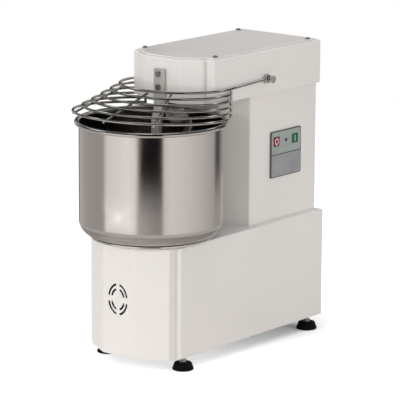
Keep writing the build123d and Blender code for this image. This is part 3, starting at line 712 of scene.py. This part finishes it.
def skin(name, rings):
    """Closed shell from rings of (outline, z), the last joined to the first."""
    loops = [[(x, y, z) for x, y in pts] for pts, z in rings]
    n = len(loops[0])
    verts = [P(*p) for lp in loops for p in lp]
    faces = []
    L = len(loops)
    for i in range(L):
        j = (i + 1) % L
        for k in range(n):
            q = (k + 1) % n
            faces.append([i * n + k, i * n + q, j * n + q, j * n + k])
    return recalc(make(name, verts, faces))


HT, RH = 546.0, 3.2
rings = [(outline(*HEAD, rr=2.0, off=T), 466.2), (outline(*HEAD, rr=2.0, off=0.4), 466.2), (outline(*HEAD, rr=2.0), 466.6), (outline(*HEAD, rr=2.0), HT - RH)]
for k in range(1, 7):
    a = pi / 2 * k / 6
    rings.append((outline(*HEAD, rr=2.0, off=RH * (1 - cos(a))), HT - RH + RH * sin(a)))
rings += [(outline(*HEAD, rr=2.0, off=18.0), HT), (outline(*HEAD, rr=2.0, off=18.0), HT - T), (outline(*HEAD, rr=2.0, off=T), HT - T)]
head = skin("head_body", rings)
sharp(head, 32)
for s in (1, -1):
    c = tube("pin_hole", [P(s * 88, 254, 495), P(s * 100, 254, 495)], 6.6, 32)
    cut(head, c)
sharp(head, 32)
piece(head, "frame", "white_enamel", "white_enamel", "head_casing")

# lid: a flat plate laid on the head's turned-in rim, with a softened edge
LT = 548.5
LID = dict(rr=9.0, rs=4.0, rv=5.0)
lp = [(outline(*HEAD[:7], 13.0, off=7.6, **LID), HT + 0.05), (outline(*HEAD[:7], 13.0, off=7.6, **LID), HT + 0.5), (outline(*HEAD[:7], 13.0, off=7.0, **LID), HT + 0.7)]
for k in range(0, 6):
    a = pi / 2 * k / 5
    lp.append((outline(*HEAD[:7], 13.0, off=7.0 + 0.9 * (1 - cos(a)), **LID), LT - 0.9 + 0.9 * sin(a)))
lid = grid_loops("head_cap", [[(x, y, z) for x, y in pts] for pts, z in lp])
for y in (124.4, 395.5):
    for s in (1, -1):
        cut(lid, lathe("lid_hole", [(2.4, 540), (2.4, 555), (0, 555), (0, 540)], s * 81.7, y, 24, True))
sharp(lid, 32)
piece(lid, "frame", "white_enamel", "white_enamel", "head_lid")

# ------------------------------------------------------------------ bowl
def arc_prof(cx, cz, r, a0, a1, n):
    return [(cx + r * cos(a0 + (a1 - a0) * k / n), cz + r * sin(a0 + (a1 - a0) * k / n)) for k in range(n + 1)]


BR, BB, BT, BC, BW = 130.0, 230.0, 438.6, 27.0, 1.6
outer = [(0, BB)] + [(60, BB)] + arc_prof(BR - BC, BB + BC, BC, -pi / 2, 0, 18)
outer += [(BR, z) for z in (300, 360, 400, 420)]
bead_c, bead_r = 133.6, 4.2
zc = BT - bead_r
outer += [(BR, 430.6)] + arc_prof(bead_c, zc, bead_r, radians(210), radians(210 + 285), 30)
inner = [(129.3, 436.4), (128.6, 434.4), (BR - BW, 431.0), (BR - BW, 400), (BR - BW, 360), (BR - BW, 300)]
inner += arc_prof(BR - BC, BB + BC, BC - BW, 0, -pi / 2, 18)
inner += [(60, BB + BW), (0, BB + BW)]
bowl = lathe("bowl_shell", outer + inner, 0, 46.4, 224, closed=False)
bowl.data.materials.append(M["stainless_bowl"])
bowl.data.materials.append(M["bowl_inside"])
# inner faces take the darker bowl_inside steel, painted shade inside the bowl
for p in bowl.data.polygons:
    c = p.center
    r = sqrt(c.x ** 2 + (c.y - BY) ** 2)
    if r < 128.9 * MM and c.z > (BB + 0.8) * MM:
        p.material_index = 1
sharp(bowl, 40)
piece(bowl, "bowl", "stainless_bowl", None, "bowl")

# ------------------------------------------------------------------ guard
WIRE, ROD = 2.3, 2.8
XE, YE = 99.9, 147.0
Z_END = [443.0, 451.5, 460.5, 470.5, 480.5, 490.5]
Y_AP = [-93.1, -71.5, -49.9, -28.3, -6.7, 14.9]
Z_AP = [457.5, 465.0, 472.5, 480.0, 487.5, 495.0]
PY, PZ = 254.0, 495.0


def on_arc(i, x):
    a, b = Vector((0, YE, Z_END[i])), Vector((0, Y_AP[i], Z_AP[i]))
    e = a - b
    L = e.length
    e.normalize()
    R = (L * L + XE * XE) / (2 * L)
    s = R - sqrt(R * R - x * x)
    q = b + e * s
    return Vector((x, q.y, q.z))


wires = []
for i in range(5):
    pts = [P(*p) for p in arc3((-XE, YE, Z_END[i]), (0, Y_AP[i], Z_AP[i]), (XE, YE, Z_END[i]), 120)]
    wires.append(tube("wire", pts, WIRE, 16))
top = [P(*p) for p in arc3((-XE, YE, Z_END[5]), (0, Y_AP[5], Z_AP[5]), (XE, YE, Z_END[5]), 120)]
path = []
for s, seq in ((-1, None), (1, None)):
    pass
left = [P(-XE, PY - 6, PZ - 0.2), P(-XE, 220, Z_END[5] + (PZ - Z_END[5]) * 0.68), P(-XE, 180, Z_END[5] + (PZ - Z_END[5]) * 0.31)]
rightp = [Vector((-p.x, p.y, p.z)) for p in reversed(left)]
wires.append(tube("wire", left + top + rightp, [2.35] * len(left + top + rightp), 20))
for s in (1, -1):
    wires.append(tube("wire", [P(s * XE, YE, Z_END[0] - 3.4), P(s * XE, YE, 460), P(s * XE, YE, Z_END[5])], WIRE + 0.15, 16))
DROP = WIRE + 1.9
for xs0, xs1 in ((8.0, 16.0), (93.0, 57.0), (-100.0, -62.0)):
    pts = []
    for i in range(6):
        p = on_arc(i, xs0 + (xs1 - xs0) * i / 5)
        pts.append(P(p.x, p.y, p.z - DROP))
    fine = []
    for a, b in zip(pts[:-1], pts[1:]):
        for k in range(6):
            fine.append(a.lerp(b, k / 6))
    fine.append(pts[-1])
    wires.append(tube("wire", fine, WIRE, 16))
for s in (1, -1):                                   # pivot eyes
    e = lathe("eye", [(4.0, -3.0), (7.2, -3.0), (8.0, -2.2), (8.0, 2.2), (7.2, 3.0), (4.0, 3.0)], 0, -YS, 40, True)
    e.matrix_world = Matrix.Translation(P(s * XE - ZS, PY, PZ)) @ Matrix.Rotation(pi / 2, 4, "Y")
    wires.append(e)
guard = join("wire_guard", wires)
guard.data.materials.clear()
sharp(guard, 40)
piece(guard, "guard", "stainless_wire", "stainless_wire", "guard_frame")

# ------------------------------------------------------------------ spiral hook
HR = 42.5
pts = []
N = 15
TH0, TH1 = radians(55), radians(-430)
ctrl = [P(0, 116.5, 436.0)]
for k in range(N):
    u = k / (N - 1)
    th = TH0 + (TH1 - TH0) * u
    r = HR * min(1.0, 0.42 + 1.75 * u) if u > 0 else 14.0
    z = 431.0 - (431.0 - 247.0) * (u ** 1.02)
    ctrl.append(P(r * cos(th), 116.5 + r * sin(th), z))


def catmull(pts, n=10):
    out = []
    p = [pts[0] * 2 - pts[1]] + pts + [pts[-1] * 2 - pts[-2]]
    for i in range(1, len(p) - 2):
        for k in range(n):
            t = k / n
            a, b, c, d = p[i - 1], p[i], p[i + 1], p[i + 2]
            out.append(0.5 * ((2 * b) + (c - a) * t + (2 * a - 5 * b + 4 * c - d) * t * t + (3 * b - a - 3 * c + d) * t ** 3))
    out.append(p[-2])
    return out


hk = catmull(ctrl, 10)
rad = [7.4] * len(hk)
for i in range(8):
    rad[-1 - i] = 7.4 * (0.45 + 0.55 * sqrt(min(1.0, (i + 0.6) / 8)))
coil = tube("coil", hk, rad, 28)
collar = lathe("collar", [(10.05, 424), (12.4, 424), (13, 424.6), (13, 428), (19, 428), (20, 429), (20, 442), (19, 443), (13, 443), (13, 449.4), (12.4, 450), (10.05, 450)], 0, 116.5, 64, True)
M["hub_satin"] = brushed("hub_satin", (60, 60, 60), (0.78, 0.77, 0.75), 0.42, 0.06)
next(n for n in M["hub_satin"].node_tree.nodes if n.type == "BSDF_PRINCIPLED").inputs["Metallic"].default_value = 0.6
collar.data.materials.append(M["hub_satin"])
coil.data.materials.append(M["hook_steel"])
hook = join("spiral_arm", [coil, collar])
sharp(hook, 40)
piece(hook, "spiral", "stainless_bar", None, "spiral_hook")

# ------------------------------------------------------------------ breaker bar
SX, BWH = 0.2, 9.5
fr = [(62.45, 527.0), (62.45, 456.0), (62.2, 453.6), (61.4, 451.0), (56.4, 436.6), (55.7, 434.2), (55.45, 431.6), (55.45, 252.0)]
rr_ = [(73.45, 527.0), (73.45, 458.0), (73.0, 455.2), (72.0, 452.6), (64.6, 437.2), (63.8, 434.6), (63.45, 431.8), (63.45, 252.0)]
mid = rr_
ring_pts = rr_ + fr[::-1]
verts, faces = [], []
for x in (SX - BWH, SX + BWH):
    for y, z in ring_pts:
        verts.append(P(x, y, z))
n = len(ring_pts)
h = len(mid)
for k in range(n):
    q = (k + 1) % n
    faces.append([k, q, n + q, n + k])
for side, base_i in ((0, 0), (1, n)):
    for i in range(h - 1):
        a, b = i, i + 1
        c, d = n - 2 - i, n - 1 - i
        f = [base_i + a, base_i + b, base_i + c, base_i + d]
        faces.append(f if side else f[::-1])
bar = recalc(make("breaker_strap", verts, faces, False))
bevel(bar, 0.9, 3, 40)
apply_mods(bar)
sharp(bar, 35)
M["bar_satin"] = brushed("bar_satin", (60, 60, 700), (0.72, 0.705, 0.67), 0.36, 0.06)
next(n for n in M["bar_satin"].node_tree.nodes if n.type == "BSDF_PRINCIPLED").inputs["Metallic"].default_value = 0.6
piece(bar, "frame", "stainless_bar", "bar_satin", "breaker_bar")

# ------------------------------------------------------------------ feet
feet = []
for fy in (28.0, 394.0):
    for s in (1, -1):
        f = lathe("foot", [(0, -3.0), (17.8, -3.0), (18.8, -2.5), (19.3, -1.5), (19.3, -0.3), (18.8, 0.9), (18.0, 2.6), (17.1, 5.2), (16.4, 7.6),
                           (15.8, 9.1), (14.9, 10.2), (13.6, 10.6), (4.05, 10.6), (4.05, 3.0), (0, 3.0)], s * 89.5, fy, 72, closed=False)
        feet.append(f)
pads = join("foot_pads", feet)
sharp(pads, 40)
piece(pads, "frame", "black_rubber", "black_rubber", "rubber_feet")

# ------------------------------------------------------------------ control panel details
X0 = 85.4
PT = 3.5
def plate(name, x0, x1, y0, y1, z0, z1, r, bev, mat):
    pts = []
    for cy, cz, a0 in ((y1 - r, z1 - r, 0), (y0 + r, z1 - r, pi / 2), (y0 + r, z0 + r, pi), (y1 - r, z0 + r, 1.5 * pi)):
        for k in range(7):
            a = a0 + pi / 2 * k / 6
            pts.append((cy + r * cos(a), cz + r * sin(a)))
    def ins(d):
        out = []
        for (y, z) in pts:
            cy, cz = (y0 + y1) / 2, (z0 + z1) / 2
            out.append((y - d * (1 if y > cy else -1), z - d * (1 if z > cz else -1)))
        return out
    lps = [[(x0, y, z) for y, z in pts], [(x1 - bev, y, z) for y, z in pts],
           [(x1 - bev * 0.3, y, z) for y, z in ins(bev * 0.3)], [(x1, y, z) for y, z in ins(bev)]]
    ob = grid_loops(name, lps)
    ob.data.materials.append(M[mat])
    sharp(ob, 40)
    return ob


M["panel_dark"] = plastic("panel_dark", (0.055, 0.06, 0.065), 0.4, 0.08)
M["panel_low"] = plastic("panel_low", (0.315, 0.32, 0.335), 0.36, 0.08)
M["ring_white"] = plastic("ring_white", (0.80, 0.50, 0.50), 0.3, 0.04, 0.2)
M["bar_light"] = plastic("bar_light", (0.12, 0.46, 0.24), 0.3, 0.04, 0.2)
BT_ = 17.2
STOP, START, LAMP = (295.8, 371.0), (351.0, 370.0), (324.2, 370.7)
M["panel_side"] = plastic("panel_side", (0.20, 0.20, 0.205), 0.45, 0.08)
side = plate("p_side", X0, X0 + PT - 0.9, 280.0, 370.3, 303.8, 390.2, 3.2, 0.2, "panel_side")
edge = plate("p_edge", X0 + PT - 1.0, X0 + PT - 0.25, 280.0, 370.3, 303.8, 390.2, 3.2, 0.3, "panel_dark")
upper = plate("p_up", X0 + 0.2, X0 + PT, 281.7, 368.7, 347.1, 388.6, 1.8, 0.25, "panel_grey")
lower = plate("p_low", X0 + 0.2, X0 + PT, 281.7, 368.7, 305.4, 345.5, 1.8, 0.25, "panel_low")
for pl in (side, edge, upper):
    for (y, z) in (STOP, START):
        hh = BT_ / 2 + 0.3
        cut(pl, box_mesh("bh", X0 - 3, X0 + PT + 3, y - hh, y + hh, z - hh, z + hh))
    cut(pl, tube("lh", [P(X0 - 3, *LAMP), P(X0 + PT + 3, *LAMP)], 3.1, 32))
pan = join("panel_face", [side, edge, upper, lower])
sharp(pan, 40)
piece(pan, "frame", "panel_grey", None, "control_panel")

XF = X0 + PT + 0.8
for name, (y, z), mat, body, node in (("stop_cap", STOP, "stop_red", "stop", "stop_button"), ("start_cap", START, "start_green", "start", "start_button")):
    h = BT_ / 2
    cap = plate("cap", X0 - 4.0, XF, y - h, y + h, z - h, z + h, 1.6, 0.8, mat)
    stem = tube("stem", [P(X0 - 18, y, z), P(X0 - 4.1, y, z)], 4.0, 24)
    stem.data.materials.append(M[mat])
    parts = [cap, stem]
    if body == "stop":                              # pale ring let into the face
        rg = lathe("rg", [(3.3, 0), (3.3, 0.22), (3.5, 0.34), (5.7, 0.34), (5.9, 0.22), (5.9, 0)], 0, -YS, 48, True)
        rg.matrix_world = Matrix.Translation(P(XF - 0.1 - ZS, y, z)) @ Matrix.Rotation(pi / 2, 4, "Y") @ Matrix.Diagonal((1.14, 1, 1, 1))
        rg.data.materials.append(M["ring_white"])
        parts.append(rg)
    else:
        parts.append(plate("st", XF - 0.2, XF + 0.25, y - 2.2, y + 2.2, z - 5.9, z + 5.9, 0.9, 0.2, "bar_light"))
    b = join(name, parts)
    sharp(b, 40)
    piece(b, body, mat, None, node)

# ------------------------------------------------------------------ floor, light, reflections
def stage_mat(name, col, rough=0.6):
    k = Mat(name).set(Roughness=rough)
    nz = k.noise(3.0, 3.0)
    c = k.mix(k.rng(nz, 0, 1), tuple(v * 0.995 for v in col), col)
    k.link(c, k.b.inputs["Base Color"])
    k.b.inputs["Specular IOR Level"].default_value = 0.25
    return k.m


FR = 2.4
ring_v = [(0, 0, -0.0002)] + [(FR * cos(2 * pi * k / 96), FR * sin(2 * pi * k / 96), -0.0002) for k in range(96)]
fl = make("floor", ring_v, [(0, 1 + k, 1 + (k + 1) % 96) for k in range(96)], False)
fm = stage_mat("floor_paper", (0.93, 0.93, 0.93))
ft = fm.node_tree
fb = next(n for n in ft.nodes if n.type == "BSDF_PRINCIPLED")
dim = ft.nodes.new("ShaderNodeBsdfDiffuse")              # what the floor gives back to the object
dim.inputs["Color"].default_value = (0.375, 0.352, 0.335, 1)
fp = ft.nodes.new("ShaderNodeLightPath")
fx = ft.nodes.new("ShaderNodeMixShader")
fo = next(n for n in ft.nodes if n.type == "OUTPUT_MATERIAL")
ft.links.new(fp.outputs["Is Camera Ray"], fx.inputs["Fac"])
ft.links.new(dim.outputs["BSDF"], fx.inputs[1])
ft.links.new(fb.outputs["BSDF"], fx.inputs[2])
ft.links.new(fx.outputs["Shader"], fo.inputs["Surface"])
fl.data.materials.append(fm)

world = bpy.data.worlds.new("studio")
scene.world = world
world.use_nodes = True
wn = world.node_tree.nodes
wl = world.node_tree.links
bg = wn["Background"]
bg.inputs["Color"].default_value = (1, 1, 1, 1)
bg.inputs["Strength"].default_value = 0.40
bg2 = wn.new("ShaderNodeBackground")
bg2.inputs["Strength"].default_value = 1.0
bg2.inputs["Color"].default_value = (1, 1, 1, 1)
bg3 = wn.new("ShaderNodeBackground")
bg3.inputs["Color"].default_value = (1, 1, 1, 1)
bg3.inputs["Strength"].default_value = 0.10
lpn = wn.new("ShaderNodeLightPath")
mg = wn.new("ShaderNodeMixShader")
mx = wn.new("ShaderNodeMixShader")
wl.new(lpn.outputs["Is Glossy Ray"], mg.inputs["Fac"])
wl.new(bg.outputs["Background"], mg.inputs[1])
wl.new(bg3.outputs["Background"], mg.inputs[2])
wl.new(lpn.outputs["Is Camera Ray"], mx.inputs["Fac"])
wl.new(mg.outputs["Shader"], mx.inputs[1])
wl.new(bg2.outputs["Background"], mx.inputs[2])
wl.new(mx.outputs["Shader"], wn["World Output"].inputs["Surface"])

# reflection drum: upright cards and softboxes round the machine, seen in gloss only
DR, DH = 0.95, 1.1
stops = [
    # angle from the front quarter in degrees, positive to the right, brightness and tint
    (-180, 0.01), (-158, 0.02), (-148, 0.34), (-110, 0.27), (-75.5, 0.25), (-70.5, 0.56), (-50, 0.60), (-34, 0.66), (-22, 0.62),
    (-18, 0.20), (-14, 0.012), (-8, 0.0), (17, 0.0), (17.8, 0.50), (30, 0.56), (60, 0.48), (95, 0.36), (112, 0.30), (115, 0.05),
    (128, 0.06), (135, 0.22), (150, 0.30), (180, 0.2),
]
AZC = 39.2


def level(a):
    for (a0, v0), (a1, v1) in zip(stops[:-1], stops[1:]):
        if a0 <= a <= a1:
            return v0 + (v1 - v0) * (a - a0) / (a1 - a0)
    return 0.1


def seg_dist(a, z, p, q):
    ax, zx = (a - p[0]) / 12.0, (z - p[1]) / 0.02
    bx, bz = (q[0] - p[0]) / 12.0, (q[1] - p[1]) / 0.02
    t = max(0.0, min(1.0, (ax * bx + zx * bz) / (bx * bx + bz * bz)))
    return sqrt((ax - bx * t) ** 2 + (zx - bz * t) ** 2)


def drum_light(a, z):
    v = level(a)
    low = max(0.0, min(1.0, (0.196 - z) / 0.106))
    low = low * low * (3 - 2 * low)
    if -22 < a < 17.4:
        w = 0.34 - 0.16 * (a + 22) / 39.4
        v = v + low * max(0.0, w - v)
    if 112 < a < 138:
        v = v + low * max(0.0, 0.26 - v)
    for p, q in (((-72, 0.108), (-52, 0.088)), ((-52, 0.088), (-31, 0.112)), ((-70, 0.052), (-48, 0.078)), ((-48, 0.078), (-30, 0.060))):
        v += 0.26 * math.exp(-(seg_dist(a, z, p, q) / 0.42) ** 2)
    if abs(a) < 140:
        v *= 1 - 0.88 * max(0.0, min(1.0, (z - 0.44) / 0.10))
    else:
        v += 0.05 * max(0.0, min(1.0, (z - 0.50) / 0.15))
    cool = max(0.0, 1 - abs(a + 50) / 40)
    return (v * 1.02, v * (0.955 + 0.02 * cool), v * (0.925 + 0.03 * cool), 1.0)


verts, faces, cols = [], [], []
ND, NZ = 360, 72
for k in range(ND + 1):
    ad = -180 + 360.0 * k / ND
    d = Vector((sin(radians(AZC + ad)), -cos(radians(AZC + ad)), 0))
    for i in range(NZ + 1):
        z = DH * (i / NZ) ** 1.6
        verts.append(Vector((BX, BY, 0)) + d * DR + Vector((0, 0, z)))
        cols.append(drum_light(ad, z))
for k in range(ND):
    for i in range(NZ):
        a = k * (NZ + 1) + i
        b = (k + 1) * (NZ + 1) + i
        faces.append([a, b, b + 1, a + 1])
drum = make("reflection_drum", verts, faces, True)
ca = drum.data.color_attributes.new("glow", "FLOAT_COLOR", "POINT")
for i, c in enumerate(cols):
    ca.data[i].color = c
dm = bpy.data.materials.new("drum_light")
dm.use_nodes = True
nt = dm.node_tree
for nd in list(nt.nodes):
    nt.nodes.remove(nd)
out = nt.nodes.new("ShaderNodeOutputMaterial")
em = nt.nodes.new("ShaderNodeEmission")
at = nt.nodes.new("ShaderNodeAttribute")
at.attribute_name = "glow"
nt.links.new(at.outputs["Color"], em.inputs["Color"])
em.inputs["Strength"].default_value = 1.6
nt.links.new(em.outputs["Emission"], out.inputs["Surface"])
drum.data.materials.append(dm)
drum.visible_camera = False
drum.visible_diffuse = False
drum.visible_shadow = False
drum.visible_transmission = False

lit = bpy.data.collections.new("floor_only")
lit.objects.link(fl)


def light(name, kind, loc, target, power, glossy=False, floor=False, shadow=True, **kw):
    ld = bpy.data.lights.new(name, kind)
    ld.energy = power
    for k, v in kw.items():
        setattr(ld, k, v)
    ob = bpy.data.objects.new(name, ld)
    scene.collection.objects.link(ob)
    ob.location = loc
    ob.rotation_euler = (Vector(loc) - Vector(target)).to_track_quat("Z", "Y").to_euler()
    ob.visible_glossy = glossy
    ob.visible_camera = False
    if floor:
        ob.light_linking.receiver_collection = lit
    if not shadow:
        ob.light_linking.blocker_collection = lit
    return ob


RECT = dict(shape="RECTANGLE")
light("key", "AREA", (-0.35, -3.3, 1.05), (0, 0, 0.33), 64, size=2.2, size_y=1.8, **RECT)
light("side", "AREA", (3.35, 0.5, 0.9), (0, 0, 0.3), 41, size=1.8, size_y=1.4, **RECT)
light("back", "AREA", (0.2, 3.0, 2.4), (0, 0, 0.4), 22, glossy=True, size=2.6, size_y=1.2, **RECT)
light("left", "AREA", (-2.6, -0.9, 2.7), (0, 0, 0.4), 14, glossy=True, size=1.6, size_y=1.2, **RECT)
light("top_card", "AREA", (0.0, -0.2, 2.3), (0, 0, 0.4), 4.6, glossy=True, size=1.2, size_y=1.2, **RECT)
light("floor_sky", "SUN", (0, 0, 4), (0, 0, 0), 1.7, floor=True, angle=radians(110))
light("floor_right", "AREA", (1.9, -0.5, 0.55), (0, 0, 0.0), 12, floor=True, size=2.4, size_y=1.0, **RECT)
light("floor_front", "SPOT", (-0.25, -1.3, 1.2), (-0.03, -0.24, 0), 100, floor=True, shadow=False, spot_size=radians(24), spot_blend=1.0, shadow_soft_size=0.05)
